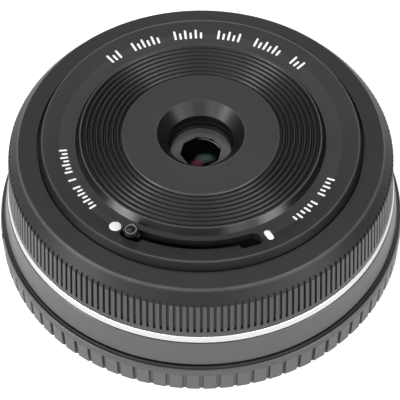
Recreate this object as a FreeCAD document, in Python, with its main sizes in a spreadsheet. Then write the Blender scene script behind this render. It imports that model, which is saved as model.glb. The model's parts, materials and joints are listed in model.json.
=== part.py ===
"""Thin autofocus prime lens, standing on its rear cap.

Frame: millimetres, origin where the optical axis meets the bayonet flange plane, +Z along the
axis towards the front glass. The lever and its index marks are on the -Y side.
"""
import FreeCAD, Part
import Sketcher
import math
import os

V = FreeCAD.Vector
Z_AXIS = V(0, 0, 1)
TURN = 360.0

doc = FreeCAD.newDocument("PrimeLens")
sheet = doc.addObject("Spreadsheet::Sheet", "Sizes")

# ---------------------------------------------------------------- driving sizes, in millimetres
SIZES = {
    # front plate
    "face_height": 15.3,
    "plate_underside": 13.4,
    "hole_radius": 4.9,
    "hole_wall": 0.15,
    "cone_radius": 6.45,
    "flat_radius": 11.47,
    "groove_pitch": 0.765,
    "groove_depth": 0.36,
    "groove_land": 0.12,
    "groove_floor": 0.08,
    "ring_rise": 0.3,
    "wall_top_radius": 17.7,
    "dish_radius": 18.4,
    "dish_depth": 0.6,
    "dish_sag": 0.12,
    "rim_radius": 23.05,
    "plate_edge_radius": 23.3,
    "plate_foot_radius": 23.9,
    # lever, slot and cover
    "lever_radius": 20.42,
    "lever_angle": -118.4,
    "lever_travel": 47.0,
    "slot_radius": 20.05,
    "slot_half_width": 0.75,
    "slot_margin": 1.9,
    "pocket_inner": 19.6,
    "pocket_outer": 21.6,
    "pocket_half_angle": 4.5,
    "pocket_shift": 0.6,
    "knob_radius": 1.05,
    "knob_base": 15.12,
    "knob_top": 15.74,
    "shoe_bottom": 13.5,
    "shoe_top": 14.25,
    "shoe_inner": 19.45,
    "shoe_outer": 20.65,
    "shoe_half_angle": 3.0,
    "stem_radius": 0.3,
    "cam_ring_bottom": 12.8,
    "cam_ring_top": 13.2,
    "cam_ring_inner": 7.0,
    "cam_ring_outer": 21.84,
    "pivot_radius": 11.0,
    "pivot_pin_radius": 0.8,
    "pivot_bore_radius": 0.86,
    "blade_radius": 5.6,
    "blade_overlap": 0.35,
    "blade_thickness": 0.2,
    "blade_high": 12.5,
    "blade_low": 12.2,
    "blade_hub_radius": 1.7,
    "blade_swing": 32.0,
    "blade_pin_radius": 0.5,
    "blade_pin_reach": 2.6,
    "blade_tab_radius": 1.2,
    "cam_clearance": 0.15,
    "base_plate_bottom": 11.75,
    "base_plate_top": 12.1,
    # grip barrel
    "barrel_face": 14.06,
    "barrel_bore": 24.05,
    "barrel_face_radius": 26.72,
    "bevel_radius": 28.31,
    "bevel_height": 12.08,
    "knurl_radius": 28.42,
    "knurl_foot_radius": 28.94,
    "knurl_bottom": 6.45,
    "knurl_depth": 0.32,
    "knurl_width": 0.42,
    "knurl_count": 192,
    "barrel_bottom": 5.45,
    "grip_foot_radius": 29.03,
    "barrel_inner": 27.0,
    "shoulder_inner": 21.9,
    # trim ring and rear barrel
    "trim_top_radius": 29.07,
    "trim_outer": 29.3,
    "trim_edge_height": 4.5,
    "trim_bottom": 4.4,
    "band_top_radius": 29.4,
    "band_top": 4.28,
    "band_bottom_radius": 30.12,
    "shelf_bottom": 1.65,
    "shelf_top": 2.85,
    "shelf_inner": 23.7,
    # bayonet mount
    "flange_outer": 28.5,
    "tube_outer": 21.55,
    "tube_inner": 19.9,
    "tube_bottom": -3.9,
    "lug_outer": 22.9,
    "lug_front": -1.4,
    "lug_back": -2.6,
    "lug_angle": 52.0,
    "lug_count": 3,
    "mount_screw_circle": 25.6,
    "mount_screw_count": 4,
    "screw_head_radius": 1.65,
    "screw_head_depth": 0.85,
    "screw_shank_radius": 0.95,
    # rear cap
    "cap_top": -0.5,
    "cap_rim_radius": 30.7,
    "cap_bottom": -5.47,
    "cap_radius": 31.0,
    "cap_floor": -4.35,
    "cap_wall_inner": 23.6,
    "cap_lug_inner": 21.9,
    "cap_notch_count": 80,
    "cap_notch_depth": 0.38,
    "cap_notch_width": 0.55,
    "cap_collar": 1.1,
    # optics
    "bore_radius": 4.7,
    "glass_radius": 4.65,
    "stop_opening": 3.05,
    "stop_top": 11.15,
    "stop_thickness": 0.3,
    "focus_glass_radius": 6.5,
    "rear_glass_radius": 11.0,
    # voice coil and guides
    "coil_inner": 9.1,
    "coil_outer": 10.3,
    "magnet_outer": 12.4,
    "yoke_outer": 13.4,
    "rod_circle": 15.2,
    "rod_radius": 0.6,
    "rod_clearance": 0.04,
    # fasteners inside
    "barrel_screw_circle": 24.6,
    "barrel_screw_count": 4,
    "frame_screw_circle": 24.9,
    "frame_screw_count": 3,
}

for row, (alias, value) in enumerate(SIZES.items(), start=1):
    sheet.set("A%d" % row, alias)
    sheet.set("B%d" % row, str(value))
    sheet.setAlias("B%d" % row, alias)
doc.recompute()


def size(name):
    """The value of one cell of the size sheet."""
    return float(sheet.get(name))


def value_of(text):
    """The number that an expression such as 'face_height - 0.6' gives."""
    total = 0.0
    sign = 1.0
    for word in str(text).split():
        if word in "+-":
            sign = 1.0 if word == "+" else -1.0
            continue
        term = 1.0
        for factor in word.split("*"):
            term *= SIZES[factor] if factor in SIZES else float(factor)
        total += sign * term
        sign = 1.0
    return total


def bound(text):
    """The same expression, with its names turned into cells of the size sheet."""
    words = []
    for word in str(text).split():
        factors = ["Sizes." + f if f in SIZES else f for f in word.split("*")]
        words.append(" * ".join(factors))
    return " ".join(words)


# ---------------------------------------------------------------- modelling helpers
def new_body(label):
    """An empty body, named for the sub-part it will be."""
    body = doc.addObject("PartDesign::Body", label)
    body.Label = label
    return body


def plane_of(body, role):
    """One of a body's own planes or axes."""
    return [f for f in body.Origin.OriginFeatures if f.Role == role][0]


def new_sketch(body, name, role, height="0"):
    """A sketch on one of a body's planes, lifted by an expression."""
    sketch = body.newObject("Sketcher::SketchObject", name)
    sketch.AttachmentSupport = [(plane_of(body, role), "")]
    sketch.MapMode = "FlatFace"
    if height != "0":
        sketch.setExpression(".AttachmentOffset.Base.z", bound(height))
    return sketch


def pin_point(sketch, geometry, point, x_text, y_text):
    """Fix one sketch point at a place that the size sheet gives."""
    for kind, text in (("DistanceX", x_text), ("DistanceY", y_text)):
        number = value_of(text)
        index = sketch.addConstraint(
            Sketcher.Constraint(kind, -1, 1, geometry, point, number))
        if any(name in str(text) for name in SIZES):
            sketch.setExpression("Constraints[%d]" % index, bound(text))


def outline(sketch, points):
    """Close a polygon through points, each a pair of expressions."""
    numbers = [(value_of(x), value_of(y)) for x, y in points]
    last = len(points) - 1
    for i, (x, y) in enumerate(numbers):
        nx, ny = numbers[0 if i == last else i + 1]
        sketch.addGeometry(Part.LineSegment(V(x, y, 0), V(nx, ny, 0)), False)
    for i in range(len(points)):
        following = 0 if i == last else i + 1
        sketch.addConstraint(Sketcher.Constraint("Coincident", i, 2, following, 1))
    for i, (x_text, y_text) in enumerate(points):
        pin_point(sketch, i, 1, x_text, y_text)


def revolve(body, sketch, name):
    """A full turn of a sketch about the optical axis."""
    feature = body.newObject("PartDesign::Revolution", name)
    feature.Profile = sketch
    feature.ReferenceAxis = (sketch, ["V_Axis"])
    feature.Angle = TURN
    return feature


def turned(label, points):
    """A body turned about the optical axis from a (radius, height) outline."""
    body = new_body(label)
    sketch = new_sketch(body, label + "_profile", "XZ_Plane")
    outline(sketch, points)
    revolve(body, sketch, label + "_turned")
    return body


def pocket(body, sketch, name, length, upward=True):
    """Cut from the sketch plane, along +Z when upward is true."""
    feature = body.newObject("PartDesign::Pocket", name)
    feature.Profile = sketch
    feature.setExpression("Length", bound(length))
    feature.Reversed = upward
    return feature


def around_axis(body, feature, name, count):
    """Repeat a feature evenly about the optical axis."""
    pattern = body.newObject("PartDesign::PolarPattern", name)
    pattern.Originals = [feature]
    pattern.Axis = (plane_of(body, "Z_Axis"), [""])
    pattern.Angle = TURN
    pattern.setExpression("Occurrences", bound(count))
    body.Tip = pattern
    return pattern


def circle(sketch, x_text, y_text, radius_text):
    """A sketch circle whose centre and radius follow the size sheet."""
    index = sketch.addGeometry(
        Part.Circle(V(value_of(x_text), value_of(y_text), 0), Z_AXIS, value_of(radius_text)), False)
    pin_point(sketch, index, 3, x_text, y_text)
    radius = sketch.addConstraint(Sketcher.Constraint("Radius", index, value_of(radius_text)))
    sketch.setExpression("Constraints[%d]" % radius, bound(radius_text))


def on_circle(radius, degrees, height=0.0):
    """The point at a radius and an angle about the optical axis."""
    angle = math.radians(degrees)
    return V(radius * math.cos(angle), radius * math.sin(angle), height)


def sector_face(inner, outer, start, end, height):
    """A flat ring sector between two radii and two angles."""
    middle = (start + end) / 2
    outer_arc = Part.Arc(on_circle(outer, start, height), on_circle(outer, middle, height),
                         on_circle(outer, end, height)).toShape()
    inner_arc = Part.Arc(on_circle(inner, end, height), on_circle(inner, middle, height),
                         on_circle(inner, start, height)).toShape()
    side_a = Part.makeLine(on_circle(outer, end, height), on_circle(inner, end, height))
    side_b = Part.makeLine(on_circle(inner, start, height), on_circle(outer, start, height))
    return Part.Face(Part.Wire([outer_arc, side_a, inner_arc, side_b]))


def sector(inner, outer, start, end, bottom, top):
    """A solid ring sector."""
    return sector_face(inner, outer, start, end, bottom).extrude(V(0, 0, top - bottom))


def slot_solid(centre, radius, half_width, start, end, bottom, top):
    """A curved slot with round ends, its middle line an arc about centre."""
    def at(r, degrees):
        """A point at a radius about the slot's own centre."""
        return centre + on_circle(r, degrees, bottom)

    def end_cap(degrees, onward):
        """The tip of the round end, ahead of or behind the arc's end."""
        return at(radius, degrees) + on_circle(half_width, degrees + onward)

    middle = (start + end) / 2
    outer, inner = radius + half_width, radius - half_width
    wire = Part.Wire([
        Part.Arc(at(outer, start), at(outer, middle), at(outer, end)).toShape(),
        Part.Arc(at(outer, end), end_cap(end, 90), at(inner, end)).toShape(),
        Part.Arc(at(inner, end), at(inner, middle), at(inner, start)).toShape(),
        Part.Arc(at(inner, start), end_cap(start, -90), at(outer, start)).toShape(),
    ])
    return Part.Face(wire).extrude(V(0, 0, top - bottom))


def feature_of(label, shape):
    """A sub-part whose shape is set directly, with sizes read from the sheet."""
    item = doc.addObject("Part::Feature", label)
    item.Label = label
    item.Shape = shape
    item.Placement = shape.Placement
    return item


def cylinder(radius, bottom, top, x=0.0, y=0.0):
    """An upright cylinder between two heights."""
    return Part.makeCylinder(radius, top - bottom, V(x, y, bottom))


def ring(inner, outer, bottom, top):
    """A flat washer about the optical axis."""
    return cylinder(outer, bottom, top).cut(cylinder(inner, bottom - 1, top + 1))


def turned_shape(points):
    """A solid turned about the optical axis from (radius, height) numbers."""
    corners = [V(r, 0, z) for r, z in points]
    wire = Part.makePolygon(corners + [corners[0]])
    return Part.Face(wire).revolve(V(0, 0, 0), Z_AXIS, TURN)


def repeated(shape, count, first=0.0):
    """Copies of a solid set evenly about the optical axis."""
    copies = []
    for i in range(int(count)):
        copy = shape.copy()
        copy.rotate(V(0, 0, 0), Z_AXIS, first + TURN * i / count)
        copies.append(copy)
    return Part.makeCompound(copies)


nodes = []


def register(label, item):
    """Give a finished sub-part its node name."""
    item.Label = label
    nodes.append((label, item))
    return item


# ---------------------------------------------------------------- front plate
GROOVES = 8
POCKET_CORNER = 0.6


def slot_cutter():
    """The lever's arc slot, wider towards the rim at both ends so that the knob can drop in."""
    low, high = size("plate_underside") - 1, size("face_height") + 1
    first = size("lever_angle")
    last = first + size("lever_travel")
    margin, half = size("slot_margin"), size("pocket_half_angle")
    cutter = slot_solid(V(0, 0, 0), size("slot_radius"), size("slot_half_width"),
                        first - margin, last + margin + size("pocket_shift"), low, high)
    for angle in (first, last):
        middle = angle + size("pocket_shift")
        end = sector(size("pocket_inner"), size("pocket_outer"), middle - half, middle + half, low, high)
        uprights = [e for e in end.Edges if abs(e.tangentAt(e.FirstParameter).z) > 0.9]
        cutter = cutter.fuse(end.makeFillet(POCKET_CORNER, uprights))
    return cutter.removeSplitter()


def front_plate():
    """Cone hole, flat centre, eight rising grooves, sloped wall and dished outer ring."""
    points = [
        ("hole_radius", "plate_underside"),
        ("hole_radius", "plate_underside + hole_wall"),
        ("cone_radius", "face_height"),
        ("flat_radius", "face_height"),
    ]
    for i in range(GROOVES):
        start = "flat_radius + %d*groove_pitch" % i
        middle = start + " + 0.5*groove_pitch - 0.5*groove_land"
        floor = "face_height + %.4f*ring_rise - groove_depth" % (i / GROOVES)
        crest = "face_height + %.4f*ring_rise" % ((i + 1) / GROOVES)
        points += [
            (middle + " - 0.5*groove_floor", floor),
            (middle + " + 0.5*groove_floor", floor),
            (start + " + groove_pitch - groove_land", crest),
            (start + " + groove_pitch", crest),
        ]
    points.pop()
    points += [
        ("wall_top_radius", "face_height + ring_rise"),
        ("dish_radius", "face_height - dish_depth"),
        ("0.5*dish_radius + 0.5*rim_radius", "face_height - 0.5*dish_depth - dish_sag"),
        ("rim_radius", "face_height - 0.04"),
        ("plate_edge_radius - 0.1", "face_height"),
        ("plate_edge_radius", "face_height - 0.06"),
        ("plate_foot_radius - 0.05", "barrel_face - 0.1"),
        ("plate_foot_radius - 0.05", "plate_underside"),
    ]
    body = turned("front_plate", points)
    cutter = doc.addObject("Part::Feature", "lever_slot_cutter")
    cutter.Shape = slot_cutter()
    slotted = doc.addObject("Part::Cut", "front_plate_slotted")
    slotted.Base = body
    slotted.Tool = cutter
    body.Label = "front_plate_blank"
    return register("front_plate", slotted)



# ---------------------------------------------------------------- outer barrel parts
def grip_barrel():
    """Front barrel: plain face, bevel, fine straight knurl, plain band and inner shoulder."""
    body = turned("grip_barrel", [
        ("barrel_bore", "plate_underside"),
        ("barrel_bore", "barrel_face"),
        ("barrel_face_radius - 0.08", "barrel_face"),
        ("barrel_face_radius + 0.06", "barrel_face - 0.07"),
        ("bevel_radius", "bevel_height"),
        ("knurl_radius", "bevel_height - 0.22"),
        ("knurl_foot_radius", "knurl_bottom"),
        ("grip_foot_radius", "barrel_bottom + 0.04"),
        ("grip_foot_radius - 0.04", "barrel_bottom"),
        ("barrel_inner", "barrel_bottom"),
        ("barrel_inner", "base_plate_top"),
        ("shoulder_inner", "base_plate_top"),
        ("shoulder_inner", "plate_underside"),
    ])
    sketch = new_sketch(body, "knurl_profile", "XY_Plane", "knurl_bottom")
    outline(sketch, [
        ("knurl_foot_radius - knurl_depth", "-0.32*knurl_width"),
        ("knurl_foot_radius + 0.3", "-0.66*knurl_width"),
        ("knurl_foot_radius + 0.3", "0.66*knurl_width"),
        ("knurl_foot_radius - knurl_depth", "0.32*knurl_width"),
    ])
    flute = pocket(body, sketch, "knurl_flute", "barrel_face - knurl_bottom", upward=False)
    lean = (value_of("knurl_foot_radius - knurl_radius")
            / value_of("bevel_height - 0.22 - knurl_bottom"))
    flute.UseCustomVector = True    # the flutes lean in with the barrel's slight taper
    flute.Direction = V(-lean, 0, 1)
    around_axis(body, flute, "knurl", "knurl_count")
    holes = new_sketch(body, "barrel_screw_hole", "XY_Plane", "base_plate_top")
    circle(holes, "barrel_screw_circle", "0", "0.8")
    drilled = pocket(body, holes, "screw_hole", "1.05")
    around_axis(body, drilled, "screw_holes", "barrel_screw_count")
    return register("grip_barrel", body)


def trim_ring():
    """Bright bevelled ring between the two barrels."""
    return register("trim_ring", turned("trim_ring", [
        ("barrel_inner + 0.05", "trim_bottom"),
        ("barrel_inner + 0.05", "barrel_bottom"),
        ("trim_top_radius - 0.04", "barrel_bottom"),
        ("trim_top_radius", "barrel_bottom - 0.04"),
        ("trim_outer", "trim_edge_height"),
        ("trim_outer - 0.05", "trim_bottom"),
    ]))


def rear_barrel():
    """Tapered barrel at the mount end, with the inner shelf that takes the screws."""
    body = turned("rear_barrel", [
        ("barrel_inner", "trim_bottom"),
        ("trim_outer - 0.25", "trim_bottom"),
        ("trim_outer - 0.22", "band_top"),
        ("band_top_radius - 0.05", "band_top"),
        ("band_top_radius", "band_top - 0.06"),
        ("band_bottom_radius", "0.12"),
        ("band_bottom_radius - 0.1", "0"),
        ("flange_outer + 0.1", "0"),
        ("flange_outer + 0.1", "shelf_bottom"),
        ("shelf_inner", "shelf_bottom"),
        ("shelf_inner", "shelf_top"),
        ("barrel_inner", "shelf_top"),
    ])
    holes = new_sketch(body, "mount_thread", "XY_Plane", "shelf_bottom - 0.2")
    circle(holes, "mount_screw_circle", "0", "screw_shank_radius")
    drilled = pocket(body, holes, "mount_hole", "2")
    around_axis(body, drilled, "mount_holes", "mount_screw_count")
    holes = new_sketch(body, "frame_thread", "XY_Plane", "shelf_bottom - 0.2")
    circle(holes, "0.7071*frame_screw_circle", "0.7071*frame_screw_circle", "0.8")
    drilled = pocket(body, holes, "frame_hole", "2")
    around_axis(body, drilled, "frame_holes", "frame_screw_count")
    return register("rear_barrel", body)


LUG_PHASE = 30.0
CAP_LUG_PHASE = LUG_PHASE + 60.0
INDEX_ANGLE = -167.5


def bayonet_mount():
    """Metal flange and tube with three lugs, screw counterbores and the lock-pin hole."""
    body = turned("bayonet_mount", [
        ("tube_inner", "tube_bottom"),
        ("tube_outer - 0.15", "tube_bottom"),
        ("tube_outer", "tube_bottom + 0.15"),
        ("tube_outer", "0"),
        ("flange_outer - 0.1", "0"),
        ("flange_outer", "0.1"),
        ("flange_outer", "shelf_bottom"),
        ("tube_inner", "shelf_bottom"),
    ])
    heads = new_sketch(body, "counterbore_circle", "XY_Plane")
    circle(heads, "mount_screw_circle", "0", "screw_head_radius + 0.1")
    sunk = pocket(body, heads, "counterbore", "screw_head_depth + 0.05")
    around_axis(body, sunk, "counterbores", "mount_screw_count")
    shanks = new_sketch(body, "shank_circle", "XY_Plane")
    circle(shanks, "mount_screw_circle", "0", "screw_shank_radius + 0.1")
    through = pocket(body, shanks, "shank_hole", "shelf_bottom")
    around_axis(body, through, "shank_holes", "mount_screw_count")
    lock = new_sketch(body, "lock_circle", "XY_Plane")
    circle(lock, "0.7071*mount_screw_circle - 1.0", "0.7071*mount_screw_circle - 1.0", "1.15")
    pocket(body, lock, "lock_hole", "1.3")
    doc.recompute()
    body.Label = "mount_blank"
    lug = sector(size("tube_outer") - 0.3, size("lug_outer"), -size("lug_angle") / 2,
                 size("lug_angle") / 2, size("lug_back"), size("lug_front"))
    lugs = doc.addObject("Part::Feature", "lug_solids")
    lugs.Shape = repeated(lug, size("lug_count"), LUG_PHASE)
    joined = doc.addObject("Part::MultiFuse", "mount_with_lugs")
    joined.Shapes = [body, lugs]
    return register("bayonet_mount", joined)


def screw_group(label, count, circle_radius, phase, head, shank, up):
    """Pan-head screws with a cross recess: head and shank are (radius, from, to) in Z."""
    head_radius, head_low, head_high = head
    shank_radius, shank_low, shank_high = shank
    solid = cylinder(head_radius, head_low, head_high, circle_radius)
    solid = solid.fuse(cylinder(shank_radius, shank_low, shank_high, circle_radius)).removeSplitter()
    recess = min(0.45, (head_high - head_low) * 0.6)
    low = head_low if up else head_high - recess
    for dx, dy in ((head_radius * 1.1, head_radius * 0.26), (head_radius * 0.26, head_radius * 1.1)):
        bar = Part.makeBox(dx, dy, recess, V(circle_radius - dx / 2, -dy / 2, low))
        solid = solid.cut(bar)
    return register(label, feature_of(label, repeated(solid, count, phase)))


def rear_cap():
    """Rear cap: rim lip, collar, ribbed wall, index rib, floor and three inner lugs."""
    body = turned("rear_cap", [
        ("0", "cap_bottom + 0.35"),
        ("23.2", "cap_bottom + 0.35"),
        ("23.5", "cap_bottom"),
        ("cap_radius - 0.3", "cap_bottom"),
        ("cap_radius", "cap_bottom + 0.3"),
        ("cap_radius", "cap_top - 1.2"),
        ("cap_rim_radius + 0.13", "cap_top - 0.15"),
        ("cap_rim_radius", "cap_top"),
        ("cap_rim_radius - 0.1", "cap_top"),
        ("cap_rim_radius - 0.16", "cap_top - 0.12"),
        ("cap_rim_radius - 0.42", "cap_top - 0.12"),
        ("cap_rim_radius - 0.46", "cap_top + 0.02"),
        ("cap_rim_radius - 0.6", "cap_top + 0.02"),
        ("cap_rim_radius - 0.66", "cap_top - 0.7"),
        ("29.0", "cap_top - 0.7"),
        ("28.9", "cap_top + 0.4"),
        ("cap_wall_inner", "cap_top + 0.4"),
        ("cap_wall_inner", "cap_floor"),
        ("0", "cap_floor"),
    ])
    notch = new_sketch(body, "notch_profile", "XY_Plane", "cap_bottom - 0.2")
    outline(notch, [
        ("cap_radius - cap_notch_depth", "-0.42*cap_notch_width"),
        ("cap_radius - 0.15", "-0.5*cap_notch_width"),
        ("cap_radius + 0.5", "-0.85*cap_notch_width"),
        ("cap_radius + 0.5", "0.85*cap_notch_width"),
        ("cap_radius - 0.15", "0.5*cap_notch_width"),
        ("cap_radius - cap_notch_depth", "0.42*cap_notch_width"),
    ])
    cut = pocket(body, notch, "notch", "cap_top - cap_bottom - cap_collar + 0.2")
    around_axis(body, cut, "notches", "cap_notch_count")
    doc.recompute()
    body.Label = "cap_blank"
    lug = sector(size("cap_lug_inner"), size("cap_wall_inner") + 0.3, -size("lug_angle") / 2 + 2,
                 size("lug_angle") / 2 - 2, size("lug_back") - 1.3, size("lug_back") - 0.3)
    lugs = doc.addObject("Part::Feature", "cap_lug_solids")
    lugs.Shape = repeated(lug, size("lug_count"), CAP_LUG_PHASE)
    index = doc.addObject("Part::Feature", "cap_index_rib")
    index.Shape = sector(size("cap_rim_radius") - 0.5, size("cap_radius"), INDEX_ANGLE - 0.45,
                         INDEX_ANGLE + 0.45, size("cap_top") - 1.3, size("cap_top"))
    joined = doc.addObject("Part::MultiFuse", "cap_with_lugs")
    joined.Shapes = [body, lugs, index]
    return register("rear_cap", joined)


# ---------------------------------------------------------------- built-in cover
SHOE_CORNER = 0.3


def cam_point(step):
    """Centre of blade A's drive pin, in the cam ring's frame, at a lever angle in degrees."""
    ratio = size("blade_swing") / size("lever_travel")
    start = -90.0 - size("blade_swing") / 2
    pin = V(size("pivot_radius"), 0, 0) + on_circle(size("blade_pin_reach"), start + ratio * step)
    return FreeCAD.Rotation(Z_AXIS, -step).multVec(pin)


def cam_slot(bottom, top):
    """The curved slot that blade A's pin runs in."""
    travel = size("lever_travel")
    arc = Part.Arc(cam_point(0), cam_point(travel / 2), cam_point(travel)).toShape().Curve
    centre = arc.Center
    first = cam_point(0) - centre
    last = cam_point(travel) - centre
    start = math.degrees(math.atan2(first.y, first.x))
    end = math.degrees(math.atan2(last.y, last.x))
    low, high = sorted((start, end))
    if high - low > 180:
        low, high = high, low + TURN
    half = size("blade_pin_radius") + size("cam_clearance")
    spare = math.degrees(0.12 / arc.Radius)
    return slot_solid(centre, arc.Radius, half, low - spare, high + spare, bottom, top)


def cam_ring():
    """Ring that the lever turns, with two spiral cam slots and the lever's stem hole."""
    low, high = size("cam_ring_bottom"), size("cam_ring_top")
    shape = ring(size("cam_ring_inner"), size("cam_ring_outer"), low, high)
    slot = cam_slot(low - 1, high + 1)
    other = slot.copy()
    other.rotate(V(0, 0, 0), Z_AXIS, 180)
    stem = on_circle(size("lever_radius"), size("lever_angle"))
    shape = shape.cut(Part.makeCompound([slot, other]))
    shape = shape.cut(cylinder(size("stem_radius"), low - 1, high + 1, stem.x, stem.y))
    return register("cam_ring", feature_of("cam_ring", shape))


def lever_knob():
    """Round knob with a dished top, on a stem that reaches down into the cam ring."""
    radius, base, top = size("knob_radius"), size("knob_base"), size("knob_top")
    stem = size("stem_radius")
    shape = turned_shape([
        (0, size("cam_ring_bottom")), (stem, size("cam_ring_bottom")), (stem, base),
        (radius, base), (radius + 0.05, base + 0.15), (radius, top - 0.2), (radius - 0.07, top - 0.07),
        (radius - 0.2, top), (radius - 0.38, top), (radius - 0.55, top - 0.1), (0, top - 0.18),
    ])
    item = feature_of("lever_knob", shape)
    spot = on_circle(size("lever_radius"), size("lever_angle"))
    item.Placement = FreeCAD.Placement(spot, FreeCAD.Rotation())
    return register("lever_knob", item)


def lever_shoe():
    """Arc-shaped slide on the stem, sunk in the slot under the knob."""
    half, centre = size("shoe_half_angle"), size("lever_angle")
    bottom, top = size("shoe_bottom"), size("shoe_top")
    shape = sector(size("shoe_inner"), size("shoe_outer"), centre - half, centre + half, bottom, top)
    uprights = [e for e in shape.Edges if abs(e.tangentAt(e.FirstParameter).z) > 0.9]
    shape = shape.makeFillet(SHOE_CORNER, uprights)
    spot = on_circle(size("lever_radius"), size("lever_angle"))
    shape = shape.cut(cylinder(size("stem_radius"), bottom - 1, top + 1, spot.x, spot.y))
    return register("lever_shoe", feature_of("lever_shoe", shape))


def blade_shape(height):
    """A cover blade in its closed place: half disc, arm, pivot hub and pin tab."""
    thick = size("blade_thickness")
    reach = size("pivot_radius")
    radius = size("blade_radius")
    hub = size("blade_hub_radius")
    top = height + thick
    pin = V(reach, 0, 0) + on_circle(size("blade_pin_reach"), -90.0 + size("blade_swing") / 2)
    disc = cylinder(radius, height, top)
    keep = Part.makeBox(4 * radius, 2 * radius, thick * 3,
                        V(-2 * radius, -size("blade_overlap"), height - thick))
    disc = disc.common(keep)
    arm = Part.Face(Part.makePolygon([
        V(radius * 0.4, radius * 0.8, height), V(radius * 0.4, -size("blade_overlap"), height),
        V(reach, -hub, height), V(reach, hub, height), V(radius * 0.4, radius * 0.8, height),
    ])).extrude(V(0, 0, thick))
    shape = disc.fuse([arm, cylinder(hub, height, top, reach),
                       cylinder(size("blade_tab_radius"), height, top, pin.x, pin.y)])
    shape = shape.cut(cylinder(size("pivot_bore_radius"), height - 1, top + 1, reach))
    shape = shape.cut(cylinder(size("blade_pin_radius"), height - 1, top + 1, pin.x, pin.y))
    return shape.removeSplitter(), pin


def cover_blade(letter, azimuth, height):
    """One cover blade and its drive pin, parked beside the opening."""
    shape, pin = blade_shape(height)
    pin_shape = cylinder(size("blade_pin_radius"), height, size("cam_ring_top") - 0.05, pin.x, pin.y)
    hinge = V(size("pivot_radius"), 0, 0)
    for label, solid in (("cover_blade_" + letter, shape), ("blade_%s_pin" % letter, pin_shape)):
        solid.rotate(hinge, Z_AXIS, -size("blade_swing"))
        solid.rotate(V(0, 0, 0), Z_AXIS, azimuth)
        register(label, feature_of(label, solid))


def cover_base_plate():
    """Fixed plate under the blades, with holes for the studs and barrel screws."""
    body = turned("cover_base_plate", [
        ("5.0", "base_plate_bottom"),
        ("5.0", "base_plate_top"),
        ("barrel_inner - 0.4", "base_plate_top"),
        ("barrel_inner - 0.4", "base_plate_bottom"),
    ])
    studs = new_sketch(body, "stud_circle", "XY_Plane", "base_plate_bottom - 0.1")
    circle(studs, "pivot_radius", "0", "pivot_pin_radius")
    hole = pocket(body, studs, "stud_hole", "1")
    around_axis(body, hole, "stud_holes", "2")
    screws = new_sketch(body, "screw_circle", "XY_Plane", "base_plate_bottom - 0.1")
    circle(screws, "barrel_screw_circle", "0", "0.85")
    hole = pocket(body, screws, "plate_hole", "1")
    around_axis(body, hole, "plate_holes", "barrel_screw_count")
    return register("cover_base_plate", body)


def blade_pivot_pins():
    """The two fixed studs that the blades turn on."""
    stud = cylinder(size("pivot_pin_radius"), size("base_plate_bottom"),
                    size("blade_high") + size("blade_thickness") + 0.04, size("pivot_radius"))
    return register("blade_pivot_pins", feature_of("blade_pivot_pins", repeated(stud, 2)))


# ---------------------------------------------------------------- optics
def element(label, radius, rim_low, rim_high, front, back):
    """A lens element: front is how far the top face bulges up, back how far the lower one does."""
    rim = size(radius)

    def surface(level, bulge):
        """The edge of one face, from the axis to the rim."""
        middle, edge = V(0, 0, level + bulge), V(rim, 0, level)
        if bulge == 0:
            return Part.makeLine(middle, edge)
        curve = (rim ** 2 + bulge ** 2) / (2 * bulge)
        half_way = rim / 2
        sag = curve - math.copysign(math.sqrt(curve ** 2 - half_way ** 2), curve)
        return Part.Arc(middle, V(half_way, 0, level + bulge - sag), edge).toShape()

    wire = Part.Wire([
        surface(rim_low, -back),
        Part.makeLine(V(rim, 0, rim_low), V(rim, 0, rim_high)),
        surface(rim_high, front),
        Part.makeLine(V(0, 0, rim_high + front), V(0, 0, rim_low - back)),
    ])
    solid = Part.Face(wire).revolve(V(0, 0, 0), Z_AXIS, TURN)
    if solid.Volume < 0:
        solid.reverse()
    return register(label, feature_of(label, solid))


def optics():
    """Six elements in a fixed front group, a moving pair and a fixed rear element."""
    element("element_1", "glass_radius", 8.9, 10.2, 0.35, -0.3)
    element("element_2", "glass_radius", 7.3, 8.1, -0.3, -0.3)
    element("element_3", "glass_radius", 5.7, 6.7, 0.45, 0)
    element("element_4", "focus_glass_radius", 2.4, 3.3, 0.35, -0.35)
    element("element_5", "focus_glass_radius", 1.1, 1.9, 0.25, 0.3)
    element("element_6", "rear_glass_radius", -2.2, -1.0, -0.7, 0.25)
    spacers = (
        ("spacer_1", "4.2", "glass_radius", "8.1", "8.1", "8.9"),
        ("spacer_2", "4.2", "glass_radius", "6.7", "6.81", "7.3"),
        ("focus_spacer", "6.0", "focus_glass_radius", "1.9", "1.96", "2.4"),
    )
    for label, inner, outer, low, relief, high in spacers:
        register(label, turned(label, [(inner, relief), (outer, low), (outer, high), (inner, high)]))
    register("front_retaining_ring", turned("front_retaining_ring", [
        ("3.8", "10.37"), ("4.65", "10.2"), ("4.65", "10.75"), ("4.3", "10.75"), ("3.95", "10.5"),
    ]))
    register("focus_retaining_ring", turned("focus_retaining_ring", [
        ("5.7", "3.42"), ("6.5", "3.3"), ("6.5", "3.75"), ("6.1", "3.75"),
    ]))
    register("rear_retaining_ring", turned("rear_retaining_ring", [
        ("10.0", "-1.0"), ("10.95", "-1.0"), ("10.95", "-0.25"), ("10.4", "-0.25"),
    ]))


def front_cell():
    """Tube that holds the first three elements, with the stop's seat at its top."""
    return register("front_cell", turned("front_cell", [
        ("3.9", "5.45"), ("5.6", "5.45"), ("5.6", "7.1"), ("7.7", "7.1"), ("7.7", "7.5"),
        ("7.0", "7.5"), ("7.0", "11.7"), ("5.65", "11.7"), ("5.65", "10.85"),
        ("bore_radius", "10.85"), ("bore_radius", "5.7"), ("3.9", "5.7"),
    ]))


OCTAGON_PHASE = 10.0


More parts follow.
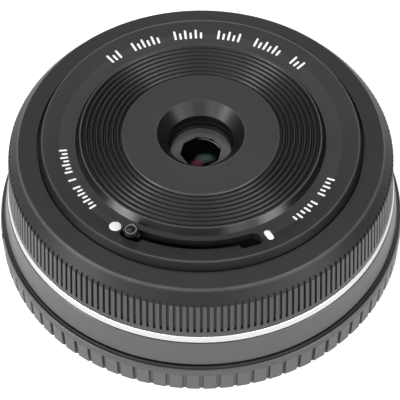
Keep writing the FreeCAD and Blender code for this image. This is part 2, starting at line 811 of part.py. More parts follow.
def aperture_stop():
    """Thin fixed stop with an eight-sided opening, its edges bevelled towards the front."""
    top, thick = size("stop_top"), size("stop_thickness")
    reach = size("stop_opening")
    blank = cylinder(5.6, top - thick, top)

    def octagon(radius, height):
        """A closed eight-sided outline."""
        corners = [on_circle(radius, OCTAGON_PHASE + 45 * i, height) for i in range(9)]
        return Part.makePolygon(corners)

    hole = Part.makeLoft([octagon(reach, top - thick - 0.1), octagon(reach + 0.12, top + 0.05)], True)
    return register("aperture_stop", feature_of("aperture_stop", blank.cut(hole)))


def stop_retainer():
    """Bevelled ring that holds the stop in its seat."""
    return register("stop_retainer", turned("stop_retainer", [
        ("4.5", "stop_top"), ("5.6", "stop_top"), ("5.6", "stop_top + 0.5"), ("4.75", "stop_top + 0.5"),
    ]))


def rear_cell():
    """Cup that carries the rear element, notched for the flex cable."""
    body = turned("rear_cell", [
        ("10.2", "-2.8"), ("12.2", "-2.8"), ("12.2", "-0.4"), ("18.2", "-0.4"), ("18.2", "1.65"),
        ("23.4", "1.65"), ("23.4", "2.35"), ("17.3", "2.35"), ("17.3", "0.4"), ("11.05", "0.4"),
        ("11.05", "-2.2"), ("10.2", "-2.26"),
    ])
    notch = new_sketch(body, "flex_notch_profile", "XY_Plane", "-0.5")
    outline(notch, [("-4.6", "-20.6"), ("4.6", "-20.6"), ("4.6", "-18.0"), ("-4.6", "-18.0")])
    pocket(body, notch, "flex_notch", "4")
    return register("rear_cell", body)


# ---------------------------------------------------------------- focus drive
ARM_WIDTH = 3.4
YOKE_SLOT = 5.0


def focus_cell():
    """Moving cell: lens seat, coil web, two arms, a full bush and a forked bush."""
    shape = turned_shape([
        (5.7, 0.9), (10.3, 0.9), (10.3, 1.55), (7.5, 1.55), (7.5, 3.8),
        (6.55, 3.8), (6.55, 1.1), (5.7, 1.0),
    ])
    circle_radius = size("rod_circle")
    for side in (-1, 1):
        arm = Part.makeBox(ARM_WIDTH, circle_radius - 8, 0.65, V(-ARM_WIDTH / 2, 8, 0.9))
        bush = cylinder(1.35, 0.9, 4.1, 0, circle_radius)
        solid = arm.fuse(bush)
        if side < 0:
            solid.rotate(V(0, 0, 0), Z_AXIS, 180)
        shape = shape.fuse(solid)
    bore = size("rod_radius") + size("rod_clearance")
    shape = shape.cut(cylinder(bore, 0, 5, 0, circle_radius))
    fork = Part.makeBox(2 * bore, 4, 5, V(-bore, -circle_radius - 3, 0))
    shape = shape.cut(fork)
    shape = shape.cut(cylinder(bore, 0, 5, 0, -circle_radius + 1))
    return register("focus_cell", feature_of("focus_cell", shape.removeSplitter()))


def voice_coil():
    """Copper winding on the moving cell's web."""
    return register("voice_coil", turned("voice_coil", [
        ("coil_inner", "1.55"), ("coil_outer", "1.55"), ("coil_outer", "4.6"), ("coil_inner", "4.6"),
    ]))


def yoke():
    """Iron ring round the coil, slotted where the cell's arms pass."""
    shape = turned_shape([
        (size("yoke_outer"), 1.6), (size("yoke_outer"), 7.5), (8.0, 7.5), (8.0, 3.6), (8.7, 3.6),
        (8.7, 6.8), (size("magnet_outer"), 6.8), (size("magnet_outer"), 1.6),
    ])
    slot = Part.makeBox(YOKE_SLOT, 40, 4.4, V(-YOKE_SLOT / 2, -20, 1.5))
    return register("yoke", feature_of("yoke", shape.cut(slot)))


def magnets():
    """Two arc magnets inside the yoke's outer wall."""
    arc = sector(10.8, size("magnet_outer"), -55, 55, 2.2, 6.2)
    return register("magnets", feature_of("magnets", repeated(arc, 2)))


def guide_rods():
    """Two steel rods that the moving cell slides on."""
    rod = cylinder(size("rod_radius"), 0.4, 8.3, 0, size("rod_circle"))
    return register("guide_rods", feature_of("guide_rods", repeated(rod, 2)))


def position_feedback():
    """Magnet strip on the moving bush and the sensor that reads it."""
    circle_radius = size("rod_circle")
    strip = Part.makeBox(0.7, 1.2, 2.4, V(1.3, circle_radius - 0.6, 1.65))
    bush = cylinder(1.35, 0.9, 4.1, 0, circle_radius)
    register("scale_magnet", feature_of("scale_magnet", strip.cut(bush)))
    sensor = Part.makeBox(1.0, 2.0, 5.0, V(2.7, circle_radius - 1.0, 2.5))
    register("position_sensor", feature_of("position_sensor", sensor))


# ---------------------------------------------------------------- chassis and electronics
def main_frame():
    """Chassis: deck over the motor, round wall, top flange and foot flange."""
    body = turned("main_frame", [
        ("7.05", "7.5"), ("21.2", "7.5"), ("21.2", "shelf_top"), ("26.6", "shelf_top"),
        ("26.6", "shelf_top + 0.9"), ("22.2", "shelf_top + 0.9"), ("22.2", "10.9"), ("26.4", "10.9"),
        ("26.4", "base_plate_bottom"), ("21.2", "base_plate_bottom"), ("21.2", "8.7"), ("7.05", "8.7"),
    ])
    patterns = (
        ("top_hole", "10.8", "barrel_screw_circle", "0", "barrel_screw_count"),
        ("foot_hole", "2.8", "0.7071*frame_screw_circle", "0.7071*frame_screw_circle", "frame_screw_count"),
    )
    for name, level, place_x, place_y, count in patterns:
        holes = new_sketch(body, name + "_circle", "XY_Plane", level)
        circle(holes, place_x, place_y, "0.85")
        drilled = pocket(body, holes, name, "1.1")
        around_axis(body, drilled, name + "s", count)
    rods = new_sketch(body, "rod_circle_sketch", "XY_Plane", "7.4")
    circle(rods, "0", "rod_circle", "rod_radius")
    seat = pocket(body, rods, "rod_seat", "0.9")
    around_axis(body, seat, "rod_seats", "2")
    return register("main_frame", body)


def main_board():
    """C-shaped circuit board under the deck, and its chips."""
    low, high = 6.7, 7.5
    board = sector(16.9, 21.0, -80, 260, low, high)
    register("main_board", feature_of("main_board", board))
    chips = []
    for angle, width, depth, height in ((-60, 3.0, 3.0, 0.9), (0, 4.0, 3.2, 1.0), (40, 2.0, 2.4, 0.8),
                                        (140, 2.4, 2.4, 0.7), (180, 4.0, 3.4, 1.0), (225, 2.0, 2.0, 0.8)):
        chip = Part.makeBox(depth, width, height, V(19.0 - depth / 2, -width / 2, low - height))
        chip.rotate(V(0, 0, 0), Z_AXIS, angle)
        chips.append(chip)
    register("board_chips", feature_of("board_chips", Part.makeCompound(chips)))


FLEX_WIDTH = 8.0
FLEX_Y = -18.75
CONTACTS = 10
CONTACT_PITCH = 4.7


def contact_flex():
    """Flat cable from the board's end down to the contact block."""
    shape = Part.makeBox(FLEX_WIDTH, 0.16, 8.6, V(-FLEX_WIDTH / 2, FLEX_Y, -2.0))
    return register("contact_flex", feature_of("contact_flex", shape))


def pin_row(radius, low, high):
    """A row of round pins along the contact block's arc."""
    pins = []
    for i in range(CONTACTS):
        spot = on_circle(18.1, -90 + (i - (CONTACTS - 1) / 2) * CONTACT_PITCH)
        pins.append(cylinder(radius, low, high, spot.x, spot.y))
    return Part.makeCompound(pins)


def contact_block():
    """Curved block on the tube's inner wall that carries ten contact pins."""
    shape = sector(16.5, 19.75, -90 - 26, -90 + 26, -3.75, -2.0)
    register("contact_block", feature_of("contact_block", shape.cut(pin_row(0.45, -4.5, -1.0))))
    register("contact_pins", feature_of("contact_pins", pin_row(0.45, -3.87, -2.2)))


def rear_baffle():
    """Light baffle with a rectangular window, cut back round the contact block."""
    shape = cylinder(19.75, -3.7, -2.95)
    window = Part.makeBox(20.5, 15.0, 3, V(-10.25, -7.0, -5))
    window = window.makeFillet(1.2, [e for e in window.Edges if abs(e.tangentAt(0).z) > 0.9])
    shape = shape.cut(window)
    shape = shape.cut(sector(16.3, 20.5, -90 - 27, -90 + 27, -5, -2))
    return register("rear_baffle", feature_of("rear_baffle", shape))


# ---------------------------------------------------------------- assembly
front_plate()
grip_barrel()
trim_ring()
rear_barrel()
bayonet_mount()
shank = size("screw_shank_radius")
screw_group("mount_screws", size("mount_screw_count"), size("mount_screw_circle"), 0.0,
            (size("screw_head_radius"), 0.05, size("screw_head_depth")),
            (shank, size("screw_head_depth"), size("shelf_top") - 0.1), True)
screw_group("barrel_screws", size("barrel_screw_count"), size("barrel_screw_circle"), 0.0,
            (1.4, 10.1, 10.9), (0.8, 10.9, size("base_plate_top") + 0.95), True)
screw_group("frame_screws", size("frame_screw_count"), size("frame_screw_circle"), 45.0,
            (1.4, size("shelf_top") + 0.9, size("shelf_top") + 1.7),
            (0.78, size("shelf_bottom") + 0.1, size("shelf_top") + 0.9), False)
rear_cap()
cam_ring()
lever_knob()
lever_shoe()
cover_blade("a", 0, size("blade_high"))
cover_blade("b", 180, size("blade_low"))
cover_base_plate()
blade_pivot_pins()
optics()
front_cell()
aperture_stop()
stop_retainer()
rear_cell()
focus_cell()
voice_coil()
yoke()
magnets()
guide_rods()
position_feedback()
main_frame()
main_board()
contact_flex()
contact_block()
rear_baffle()

doc.recompute()


# ---------------------------------------------------------------- checks and export
def check(item):
    """Stop when an object failed, or when a cut removed nothing."""
    state = list(getattr(item, "State", []))
    if "Invalid" in state or "Error" in state:
        raise RuntimeError("%s failed: %s" % (item.Label, state))
    if item.TypeId == "PartDesign::Pocket":
        before = item.BaseFeature.Shape.Volume
        if item.Shape.Volume >= before - 1e-6:
            raise RuntimeError("%s cuts nothing" % item.Label)


for item in doc.Objects:
    check(item)

os.makedirs("parts", exist_ok=True)
for label, item in nodes:
    shape = item.Shape
    if shape.isNull() or not shape.isValid() or not shape.Solids:
        raise RuntimeError("%s has no valid solid" % label)
    shape.exportStep("parts/%s.step" % label)
    print("%-22s %2d solid(s) %9.2f mm3" % (label, len(shape.Solids), shape.Volume))
print(len(nodes), "nodes")
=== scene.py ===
import json
import math

import bpy
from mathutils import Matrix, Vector
from mathutils.bvhtree import BVHTree


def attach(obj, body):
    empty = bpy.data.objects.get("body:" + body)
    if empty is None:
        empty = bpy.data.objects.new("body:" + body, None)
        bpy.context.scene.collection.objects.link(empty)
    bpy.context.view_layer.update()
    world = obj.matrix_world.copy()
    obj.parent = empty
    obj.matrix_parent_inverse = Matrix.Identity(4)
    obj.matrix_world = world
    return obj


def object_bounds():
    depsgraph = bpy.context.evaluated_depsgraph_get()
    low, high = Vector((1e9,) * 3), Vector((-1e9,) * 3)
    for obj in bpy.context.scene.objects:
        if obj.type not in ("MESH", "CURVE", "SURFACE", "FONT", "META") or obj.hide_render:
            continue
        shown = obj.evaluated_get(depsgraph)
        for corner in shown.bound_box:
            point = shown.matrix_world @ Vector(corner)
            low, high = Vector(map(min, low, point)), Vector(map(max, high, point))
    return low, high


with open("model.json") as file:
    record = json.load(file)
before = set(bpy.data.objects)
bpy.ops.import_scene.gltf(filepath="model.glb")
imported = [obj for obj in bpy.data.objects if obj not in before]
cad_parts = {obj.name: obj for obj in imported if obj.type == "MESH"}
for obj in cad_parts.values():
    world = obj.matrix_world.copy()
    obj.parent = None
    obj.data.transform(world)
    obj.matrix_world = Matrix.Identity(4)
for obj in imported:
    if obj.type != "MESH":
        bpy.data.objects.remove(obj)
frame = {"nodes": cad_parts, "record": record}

cad_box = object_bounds()
nodes = frame["nodes"]
scene = bpy.context.scene
MM = 0.001
WHITE = (1.0, 1.0, 1.0, 1.0)

# ---------------------------------------------------------------- camera sizes, angles in degrees
CAMERA_ELEVATION = 51.75
CAMERA_DISTANCE = 209.4 * MM
CAMERA_LENS = 129.0
SENSOR_WIDTH = 36.0
CAMERA_ROLL = -0.2
CAMERA_AIM = Vector((-0.14, -7.7, 9.2)) * MM
CLIP_NEAR = 0.01
CLIP_FAR = 20.0

# ---------------------------------------------------------------- node helpers
NOISE_LOW, NOISE_HIGH = 0.3, 0.7        # the range that most noise falls in
NOISE_ROUGHNESS = 0.55
BROAD_PATCH = 4 * MM
ROUGHNESS_SPREAD = 0.06
COAT_ROUGHNESS = 0.1
BUMP_STRENGTH = 0.6


def link(tree, source, target):
    """Join an output socket to an input socket."""
    tree.links.new(source, target)


def add(tree, kind, inputs=None, **settings):
    """Add a shader node, set its properties, then its inputs: numbers, colours or sockets."""
    node = tree.nodes.new(kind)
    for key, value in settings.items():
        setattr(node, key, value)
    for key, value in (inputs or {}).items():
        socket = node.inputs[key]
        if isinstance(value, bpy.types.NodeSocket):
            link(tree, value, socket)
        else:
            socket.default_value = value
    return node


def shader_of(tree, kind="BSDF_PRINCIPLED"):
    """The one node of a kind."""
    return next(n for n in tree.nodes if n.type == kind)


def math_node(tree, operation, first, second=0.5):
    return add(tree, "ShaderNodeMath", {0: first, 1: second}, operation=operation).outputs[0]


def half_and_half(tree, first, second):
    """The mean of two values."""
    return math_node(tree, "ADD", math_node(tree, "MULTIPLY", first, 0.5),
                     math_node(tree, "MULTIPLY", second, 0.5))


def noise(tree, scale, detail=4.0, vector=None):
    """Noise with a given number of cells per metre."""
    place = vector or add(tree, "ShaderNodeTexCoord").outputs["Object"]
    return add(tree, "ShaderNodeTexNoise", {"Vector": place, "Scale": scale, "Detail": detail,
                                            "Roughness": NOISE_ROUGHNESS}).outputs["Fac"]


def spread(tree, value, low, high):
    """Map noise to a range."""
    return add(tree, "ShaderNodeMapRange", {"Value": value, "From Min": NOISE_LOW, "From Max": NOISE_HIGH,
                                            "To Min": low, "To Max": high}).outputs[0]


def shade(tree, value, colour, variation):
    """A colour that noise makes a little lighter and darker."""
    ramp = add(tree, "ShaderNodeValToRGB", {"Fac": value})
    ramp.color_ramp.elements[0].position = NOISE_LOW
    ramp.color_ramp.elements[1].position = NOISE_HIGH
    for stop, factor in zip(ramp.color_ramp.elements, (1 - variation, 1 + variation)):
        stop.color = (*[min(1.0, c * factor) for c in colour], 1.0)
    return ramp.outputs["Color"]


def polar(tree):
    """Distance from the optical axis, in metres, and height."""
    place = add(tree, "ShaderNodeTexCoord").outputs["Object"]
    parts = add(tree, "ShaderNodeSeparateXYZ", {0: place})
    flat = add(tree, "ShaderNodeCombineXYZ", {"X": parts.outputs["X"], "Y": parts.outputs["Y"]})
    length = add(tree, "ShaderNodeVectorMath", {0: flat.outputs[0]}, operation="LENGTH")
    return length.outputs["Value"], parts.outputs["Z"]


def turning_lines(tree, pitch):
    """Fine lathe lines: noise that depends only on radius and height."""
    radius, height = polar(tree)
    across = add(tree, "ShaderNodeCombineXYZ", {"X": radius, "Y": height})
    return noise(tree, 1 / pitch, detail=2.0, vector=across.outputs[0])


def peak(tree, value, centre, reach):
    """1 where a value equals centre, falling smoothly to 0 at the given reach."""
    away = math_node(tree, "ABSOLUTE", math_node(tree, "SUBTRACT", value, centre))
    return add(tree, "ShaderNodeMapRange",
               {"Value": away, "From Min": 0.0, "From Max": reach, "To Min": 1.0, "To Max": 0.0},
               interpolation_type="SMOOTHSTEP").outputs[0]


def above(tree, value, low, high):
    """0 below low, 1 above high."""
    return add(tree, "ShaderNodeMapRange", {"Value": value, "From Min": low, "From Max": high},
               interpolation_type="SMOOTHSTEP").outputs[0]


# ---------------------------------------------------------------- solid finishes
FINISHES = {}


def grey(value, warmth=0.0):
    return (value * (1 + warmth), value, value * (1 - warmth))


def new_material(name):
    material = bpy.data.materials.new(name)
    material.use_nodes = True
    tree = material.node_tree
    return material, tree, shader_of(tree)


def surface(name, colour, roughness, metallic=0.0, variation=0.1, grain=0.12 * MM, grain_depth=0.01 * MM,
            lines=0.0, line_depth=0.0, specular=0.5, anisotropy=0.0, coat=0.0, sheen=0.0):
    """A solid finish: grain, broad colour and roughness change, and lathe lines where asked."""
    material, tree, principled = new_material(name)
    broad = noise(tree, 1 / BROAD_PATCH, detail=5.0)
    fine = noise(tree, 1 / grain, detail=3.0)
    mixed = half_and_half(tree, broad, fine)
    height = fine
    if lines:
        turned = turning_lines(tree, lines)
        mixed = half_and_half(tree, mixed, turned)
        height = math_node(tree, "ADD", fine, math_node(tree, "MULTIPLY", turned, line_depth / grain_depth))
    link(tree, shade(tree, mixed, colour, variation), principled.inputs["Base Color"])
    link(tree, spread(tree, mixed, roughness - ROUGHNESS_SPREAD, roughness + ROUGHNESS_SPREAD),
         principled.inputs["Roughness"])
    bump = add(tree, "ShaderNodeBump", {"Height": height, "Distance": grain_depth, "Strength": BUMP_STRENGTH})
    link(tree, bump.outputs["Normal"], principled.inputs["Normal"])
    if anisotropy:
        tangent = add(tree, "ShaderNodeTangent", direction_type="RADIAL", axis="Z")
        link(tree, tangent.outputs[0], principled.inputs["Tangent"])
        principled.inputs["Anisotropic"].default_value = anisotropy
    principled.inputs["Metallic"].default_value = metallic
    principled.inputs["Specular IOR Level"].default_value = specular
    principled.inputs["Coat Weight"].default_value = coat
    principled.inputs["Coat Roughness"].default_value = COAT_ROUGHNESS
    principled.inputs["Sheen Weight"].default_value = sheen
    return material


def finish(name, *values, **options):
    """Make a surface and keep it under the record's name for its material slot."""
    FINISHES[name] = surface(name, *values, **options)


# outside
finish("front_black", grey(0.0085, -0.02), 0.36, grain=0.1 * MM, grain_depth=0.006 * MM,
       lines=0.05 * MM, line_depth=0.002 * MM, specular=0.22)
finish("anodised_black", grey(0.0095, -0.02), 0.38, grain=0.1 * MM, grain_depth=0.006 * MM,
       lines=0.06 * MM, line_depth=0.002 * MM, specular=0.22)
finish("bright_trim", grey(0.54), 0.28, metallic=1.0, variation=0.03, grain=0.3 * MM,
       grain_depth=0.001 * MM, lines=0.04 * MM, line_depth=0.0008 * MM, anisotropy=0.5)
finish("satin_grey", grey(0.075, -0.01), 0.38, metallic=0.5, grain=0.09 * MM, grain_depth=0.008 * MM,
       lines=0.08 * MM, line_depth=0.001 * MM)
finish("mount_chrome", grey(0.72, 0.01), 0.24, metallic=1.0, variation=0.05, grain_depth=0.002 * MM,
       lines=0.06 * MM, line_depth=0.002 * MM, anisotropy=0.4)
finish("cap_plastic", grey(0.036, -0.02), 0.45, variation=0.14, grain=0.16 * MM, grain_depth=0.014 * MM,
       sheen=0.05)
# lever and cover
finish("knob_black", grey(0.006), 0.2, grain=0.08 * MM, grain_depth=0.001 * MM, specular=0.45)
finish("slide_plastic", grey(0.004), 0.4, grain=0.15 * MM, grain_depth=0.004 * MM, specular=0.2)
finish("cover_black", grey(0.008), 0.5, lines=0.1 * MM, line_depth=0.003 * MM, specular=0.3)
finish("cam_steel", grey(0.005), 0.5, lines=0.08 * MM, line_depth=0.003 * MM, specular=0.2)
finish("pin_steel", grey(0.6), 0.25, metallic=1.0, grain_depth=0.002 * MM)
finish("screw_steel", grey(0.4), 0.3, metallic=1.0, grain_depth=0.003 * MM)
# optical cells
finish("cell_black", grey(0.004), 0.55, lines=0.15 * MM, line_depth=0.01 * MM, specular=0.2)
finish("cell_plastic", grey(0.025), 0.55, grain=0.2 * MM, grain_depth=0.012 * MM)
finish("stop_metal", grey(0.10), 0.5, grain=0.07 * MM, grain_depth=0.004 * MM)
# focus motor and electronics
finish("coil_wire", (0.6, 0.25, 0.1), 0.3, metallic=0.9, lines=0.12 * MM, line_depth=0.03 * MM)
finish("magnet_nickel", grey(0.55, 0.03), 0.28, metallic=1.0)
finish("yoke_iron", grey(0.35), 0.35, metallic=1.0, lines=0.1 * MM, line_depth=0.004 * MM)
finish("board_green", (0.015, 0.12, 0.05), 0.3, variation=0.25, grain=0.6 * MM, grain_depth=0.02 * MM,
       coat=0.4)
finish("chip_black", grey(0.03), 0.5, grain=0.1 * MM, grain_depth=0.008 * MM)
finish("flex_amber", (0.42, 0.19, 0.04), 0.25, variation=0.2, coat=0.5)
finish("contact_gold", (0.83, 0.58, 0.22), 0.22, metallic=1.0, grain_depth=0.001 * MM)

# ---------------------------------------------------------------- front glass
GLASS_TINT = (0.003, 0.003, 0.0035, 1)
GLASS_IOR = 1.55
PAINTED_REFLECTIONS = (    # painted coating reflections: centre (mm), reach along x and y (mm), colour
    ((0.7, -0.85), (1.9, 1.15), (0.13, 0.21, 0.18)),
    ((0.0, -1.2), (1.2, 1.1), (0.14, 0.13, 0.13)),
    ((-0.6, -1.85), (1.35, 1.1), (0.40, 0.09, 0.15)),
)
# a painted glint in a thin arc near the glass's edge
GLINT_RADIUS = 3.0 * MM
GLINT_REACH = 0.1 * MM
GLINT_TOWARDS = (0.5, 0.87, 0)
GLINT_START = (2.2 * MM, 2.9 * MM)
GLINT_COLOUR = (0.8, 0.8, 0.8)


def coated_glass():
    """Near-black glass that mirrors nothing: its coating reflections and its edge glint are painted at fixed
    places.
    """
    material, tree, principled = new_material("coated_glass")
    place = add(tree, "ShaderNodeTexCoord").outputs["Object"]
    streaks = spread(tree, noise(tree, 1 / (1.5 * MM), detail=2.0), 0.8, 1.0)

    def patch(centre, reach):
        """1 at a point on the glass, falling to 0 on an ellipse round it."""
        offset = add(tree, "ShaderNodeVectorMath", {0: place, 1: Vector((*centre, 0)) * MM},
                     operation="SUBTRACT")
        squeeze = (1 / (reach[0] * MM), 1 / (reach[1] * MM), 0)
        flat = add(tree, "ShaderNodeVectorMath", {0: offset.outputs[0], 1: squeeze}, operation="MULTIPLY")
        away = add(tree, "ShaderNodeVectorMath", {0: flat.outputs[0]}, operation="LENGTH").outputs["Value"]
        return math_node(tree, "MULTIPLY", peak(tree, away, 0.0, 1.0), streaks)

    def layer(under, mask, colour):
        """One painted reflection mixed over what lies below it; the painted glint uses it too."""
        mix = add(tree, "ShaderNodeMix", {"Factor": mask, "A": under, "B": (*colour, 1)}, data_type="RGBA")
        return mix.outputs[2]

    # the glass colour with painted reflections and a painted glint laid over it
    glass_and_reflections = GLASS_TINT
    for centre, reach, colour in PAINTED_REFLECTIONS:
        glass_and_reflections = layer(glass_and_reflections, patch(centre, reach), colour)
    towards = add(tree, "ShaderNodeVectorMath", {0: place, 1: GLINT_TOWARDS}, operation="DOT_PRODUCT")
    facing = above(tree, towards.outputs["Value"], *GLINT_START)
    glint = math_node(tree, "MULTIPLY", peak(tree, polar(tree)[0], GLINT_RADIUS, GLINT_REACH), facing)
    glass_and_reflections = layer(glass_and_reflections, math_node(tree, "MULTIPLY", glint, streaks), GLINT_COLOUR)
    link(tree, glass_and_reflections, principled.inputs["Base Color"])
    link(tree, spread(tree, noise(tree, 1 / (0.8 * MM)), 0.03, 0.06), principled.inputs["Roughness"])
    principled.inputs["IOR"].default_value = GLASS_IOR
    principled.inputs["Specular IOR Level"].default_value = 0.0
    return material


FINISHES["coated_glass"] = coated_glass()

# ---------------------------------------------------------------- edges, wall, bevel and ribs: painted highlights on edges and rib tops, roughness on wall and bevel
# turned edges with a painted highlight: radius and reach (mm), strength
PLATE_EDGE_HIGHLIGHTS = (
    (11.5, 0.16, 0.6),      # outer edge of the flat
    (17.66, 0.14, 0.5),     # top of the wall round the grooves
    (23.17, 0.2, 0.8),      # rim
    (6.5, 0.1, 0.35),       # top of the cone
)
BARREL_EDGE_HIGHLIGHTS = ((26.86, 0.34, 1.0),)    # between the face and the bevel
HIGHLIGHT_PATCH = 2.5 * MM
HEIGHT_FADE = 0.05                      # mm
KNURL_LEAN = 0.0961                     # the ribs' inward lean for each unit of height
RIB_TOPS = (29.3 * MM, 29.5 * MM)       # leaning radius where a rib's top starts
RIB_ENDS = (11.8 * MM, 12.0 * MM)       # height where the ribs end


def blend(material, socket_name, mask, value):
    """Mix a new value or colour over what already feeds a Principled input."""
    tree = material.node_tree
    socket = shader_of(tree).inputs[socket_name]
    source = socket.links[0].from_socket
    kind, output = ("RGBA", 2) if socket.type == "RGBA" else ("FLOAT", 0)
    mix = add(tree, "ShaderNodeMix", {"Factor": mask, "A": source, "B": value}, data_type=kind)
    link(tree, mix.outputs[output], socket)


def higher_than(tree, height, lowest):
    """1 above a height in millimetres, 0 just below it."""
    return above(tree, height, (lowest - HEIGHT_FADE) * MM, lowest * MM)


def painted_edge_highlights(material, rings, lowest, value):
    """A patchy painted highlight, a paler colour, along turned edges above a height."""
    tree = material.node_tree
    radius, height = polar(tree)
    patchy = spread(tree, noise(tree, 1 / HIGHLIGHT_PATCH, detail=3.0), 0.7, 1.0)
    total = 0.0
    for centre, reach, amount in rings:
        line = math_node(tree, "MULTIPLY", peak(tree, radius, centre * MM, reach * MM), amount)
        total = math_node(tree, "MAXIMUM", line, total)
    mask = math_node(tree, "MULTIPLY", math_node(tree, "MULTIPLY", total, patchy),
                     higher_than(tree, height, lowest))
    blend(material, "Base Color", mask, (*grey(value), 1.0))


def refinish(material, inner, outer, lowest, roughness):
    """A different roughness between two radii, above a height, all in millimetres."""
    tree = material.node_tree
    radius, height = polar(tree)
    band = peak(tree, radius, (inner + outer) / 2 * MM, (outer - inner) * MM)
    mask = math_node(tree, "MULTIPLY", above(tree, band, 0.3, 0.5), higher_than(tree, height, lowest))
    blend(material, "Roughness", mask, roughness)


def painted_rib_highlights(material, value):
    """A painted highlight, a paler colour, on the tops of the knurl's ribs."""
    tree = material.node_tree
    radius, height = polar(tree)
    leaning = math_node(tree, "ADD", radius, math_node(tree, "MULTIPLY", height, KNURL_LEAN))
    below_ends = math_node(tree, "SUBTRACT", 1.0, above(tree, height, *RIB_ENDS))
    mask = math_node(tree, "MULTIPLY", above(tree, leaning, *RIB_TOPS), below_ends)
    blend(material, "Base Color", mask, (*grey(value), 1.0))


# painted highlights along the turned edges of the plate and the barrel
painted_edge_highlights(FINISHES["front_black"], PLATE_EDGE_HIGHLIGHTS, lowest=14.9, value=0.10)
refinish(FINISHES["front_black"], inner=17.72, outer=18.4, lowest=14.6, roughness=0.23)
painted_edge_highlights(FINISHES["anodised_black"], BARREL_EDGE_HIGHLIGHTS, lowest=13.2, value=0.055)
refinish(FINISHES["anodised_black"], inner=26.9, outer=28.4, lowest=11.9, roughness=0.45)
# painted highlight on the tops of the knurl's ribs
painted_rib_highlights(FINISHES["anodised_black"], value=0.042)

for row in frame["record"]["subparts"]:
    piece = nodes[row["node"]]
    piece.data.materials.clear()
    piece.data.materials.append(FINISHES[row["material_slot"]])

# ---------------------------------------------------------------- printed marks
plate = nodes["front_plate"]
plate_tree = BVHTree.FromPolygons([v.co for v in plate.data.vertices],
                                  [p.vertices for p in plate.data.polygons])
ABOVE_PLATE = 30 * MM
INK = 0.03 * MM
INK_LEVELS = ((-INK, 1.0), (INK * 0.6, 1.0), (INK, 0.9), (INK, 0.45))    # lift, share of the outline
MARK_SIDES = 40
SHORT_TICK = 0.72
INK_WHITE = surface("ink_white", grey(0.86), 0.5, variation=0.03, grain=0.08 * MM, grain_depth=0.003 * MM)


def on_plate(x, y, lift=0.0):
    """The point of the front plate's top surface below (x, y)."""
    hit = plate_tree.ray_cast(Vector((x, y, ABOVE_PLATE)), Vector((0, 0, -1)))[0]
    return Vector((x, y, hit.z + lift))


def capsule(radius, degrees, radial, across):
    """Outline of a round-ended stroke that points along the radius, in metres."""
    angle = math.radians(degrees)
    out, side = Vector((math.cos(angle), math.sin(angle))), Vector((-math.sin(angle), math.cos(angle)))
    end = across / 2
    straight = max(0.0, radial / 2 - end)
    points = []
    for i in range(MARK_SIDES):
        turn = 2 * math.pi * (i + 0.5) / MARK_SIDES
        along = end * math.cos(turn) + math.copysign(straight, math.cos(turn))
        points.append(out * (radius + along) + side * end * math.sin(turn))
    return points


def printed(name, outlines):
    """Thin raised ink that follows the plate, one closed patch for each outline."""
    verts, faces = [], []
    for outline in outlines:
        start, count = len(verts), len(outline)
        last_ring = start + (len(INK_LEVELS) - 1) * count
        top = last_ring + count
        middle = sum(outline, Vector((0, 0))) / count
        for lift, share in INK_LEVELS:
            for point in outline:
                spot = middle + (point - middle) * share
                verts.append(on_plate(spot.x, spot.y, lift))
        verts.append(on_plate(middle.x, middle.y, INK))
        verts.append(on_plate(middle.x, middle.y, -INK))
        for i in range(count):
            j = (i + 1) % count
            for low in range(start, last_ring, count):
                high = low + count
                faces.append((low + i, low + j, high + j, high + i))
            faces.append((last_ring + i, last_ring + j, top))
            faces.append((start + j, start + i, top + 1))
    mesh = bpy.data.meshes.new(name)
    mesh.from_pydata(verts, [], faces)
    for polygon in mesh.polygons:
        polygon.use_smooth = True
    piece = bpy.data.objects.new(name, mesh)
    scene.collection.objects.link(piece)
    piece.data.materials.append(INK_WHITE)
    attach(piece, "barrel")


def ticks(radius, length, width, groups, start, pitch, gap):
    """Strokes in groups along an arc, clockwise from a start angle."""
    outlines, angle = [], start
    for count in groups:
        for i in range(count):
            tall = length if i % 2 == 0 else length * SHORT_TICK
            outlines.append(capsule(radius + (tall - length) / 2, angle, tall, width))
            angle -= pitch
        angle -= gap
    return outlines


printed("index_dot", [capsule(20.6 * MM, -125.4, 1.72 * MM, 1.72 * MM)])
printed("index_bar", [capsule(20.65 * MM, -62.95, 1.9 * MM, 0.92 * MM)])
printed("scale_top", ticks(20.6 * MM, 1.7 * MM, 0.34 * MM, (3, 6, 6, 5, 6, 3),
                           start=132.0, pitch=2.25, gap=5.4))
printed("scale_left", ticks(20.2 * MM, 1.2 * MM, 0.3 * MM, (7, 1, 7), start=-138.9, pitch=2.0, gap=2.4))
printed("scale_right", ticks(20.4 * MM, 1.2 * MM, 0.3 * MM, (5, 6), start=-24.6, pitch=2.2, gap=3.0))

# ---------------------------------------------------------------- floor, which glows so that it stays pale
FLOOR_HALF = 3.0
FLOOR_GLOW = 0.45
FLOOR_CORNERS = ((-1, -1), (1, -1), (1, 1), (-1, 1))
floor_mesh = bpy.data.meshes.new("floor")
floor_mesh.from_pydata([(x * FLOOR_HALF, y * FLOOR_HALF, cad_box[0].z) for x, y in FLOOR_CORNERS],
                       [], [(0, 1, 2, 3)])
floor = bpy.data.objects.new("floor", floor_mesh)
scene.collection.objects.link(floor)
paper = surface("floor_paper", grey(0.9), 0.9, variation=0.01, grain=3 * MM, grain_depth=0.01 * MM,
                specular=0.1)
lit_paper = shader_of(paper.node_tree)
lit_paper.inputs["Emission Color"].default_value = WHITE
lit_paper.inputs["Emission Strength"].default_value = FLOOR_GLOW
floor_mesh.materials.append(paper)

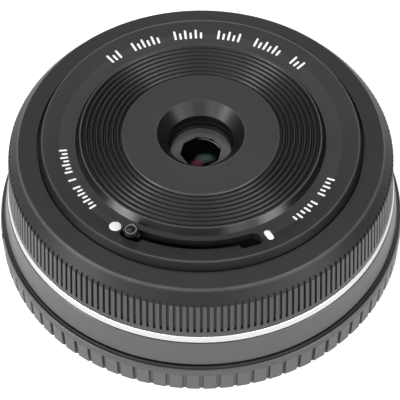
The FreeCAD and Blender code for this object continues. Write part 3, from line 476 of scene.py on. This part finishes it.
# ---------------------------------------------------------------- light
BOX = 0.3
BOX_DISTANCE = 0.9
WORLD_GLOW = 0.02
LIGHTS = (    # azimuth, elevation, watts: most rows come from a brightness fit, two are listed
    (-63, 22, 7.0),
    (-30, 38, 3.2),
    (0, 38, 1.1),
    (30, 30, 2.5),
    (56, 22, 4.6),
    (-90, 22, 0.5),
    (180, 6, 3.2),
    (180, 55, 1.7),
)


def softbox(azimuth, elevation, power):
    """A square soft light that faces the lens. Azimuth is counted like the camera's."""
    name = "box_%d_%d" % (azimuth, elevation)
    data = bpy.data.lights.new(name, "AREA")
    data.shape = "RECTANGLE"
    data.size, data.size_y = BOX, BOX
    data.energy = power
    box = bpy.data.objects.new(name, data)
    a, e = math.radians(azimuth), math.radians(elevation)
    away = Vector((math.sin(a) * math.cos(e), -math.cos(a) * math.cos(e), math.sin(e)))
    box.location = away * BOX_DISTANCE
    box.rotation_mode = "QUATERNION"
    box.rotation_quaternion = away.to_track_quat("Z", "Y")
    scene.collection.objects.link(box)


for azimuth, elevation, watts in LIGHTS:
    softbox(azimuth, elevation, watts)

world = bpy.data.worlds.new("studio")
world.use_nodes = True
background = shader_of(world.node_tree, "BACKGROUND")
background.inputs["Color"].default_value = WHITE
background.inputs["Strength"].default_value = WORLD_GLOW
scene.world = world
scene.view_settings.view_transform = "Standard"
scene.view_settings.look = "None"

# ---------------------------------------------------------------- camera
camera_data = bpy.data.cameras.new("camera")
camera_data.lens = CAMERA_LENS
camera_data.sensor_width = SENSOR_WIDTH
camera_data.clip_start, camera_data.clip_end = CLIP_NEAR, CLIP_FAR
camera = bpy.data.objects.new("camera", camera_data)
scene.collection.objects.link(camera)
lift = math.radians(CAMERA_ELEVATION)
camera.location = CAMERA_AIM + Vector((0, -math.cos(lift), math.sin(lift))) * CAMERA_DISTANCE
camera.rotation_mode = "XYZ"
camera.rotation_euler = (math.pi / 2 - lift, 0.0, 0.0)
camera.rotation_euler.rotate_axis("Z", math.radians(CAMERA_ROLL))
scene.camera = camera
